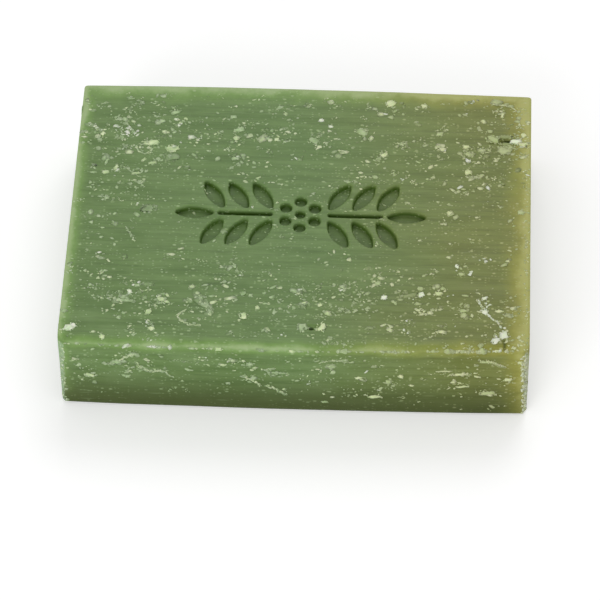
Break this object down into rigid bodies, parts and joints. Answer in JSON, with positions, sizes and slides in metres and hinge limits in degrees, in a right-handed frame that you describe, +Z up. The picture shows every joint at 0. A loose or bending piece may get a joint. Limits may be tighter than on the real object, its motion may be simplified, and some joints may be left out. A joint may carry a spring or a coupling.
{
  "type": "bar of soap",
  "caption": "Rectangular bar of green soap with rounded long edges, bevelled corners and a pressed leaf and flower ornament on its top face.",
  "frame": {"origin": "middle of the underside, in the plane that the bar rests on", "axes": "+X along the bar, +Y across it towards the back, +Z up through the stamped face"},
  "size_m": [0.085, 0.064, 0.0185],
  "materials": {
    "soap": "waxy green soap, softly satin, with fine drag lines and pale flecks"
  },
  "bodies": {
    "root": {"soap_bar": "soap"}
  },
  "joints": []
}
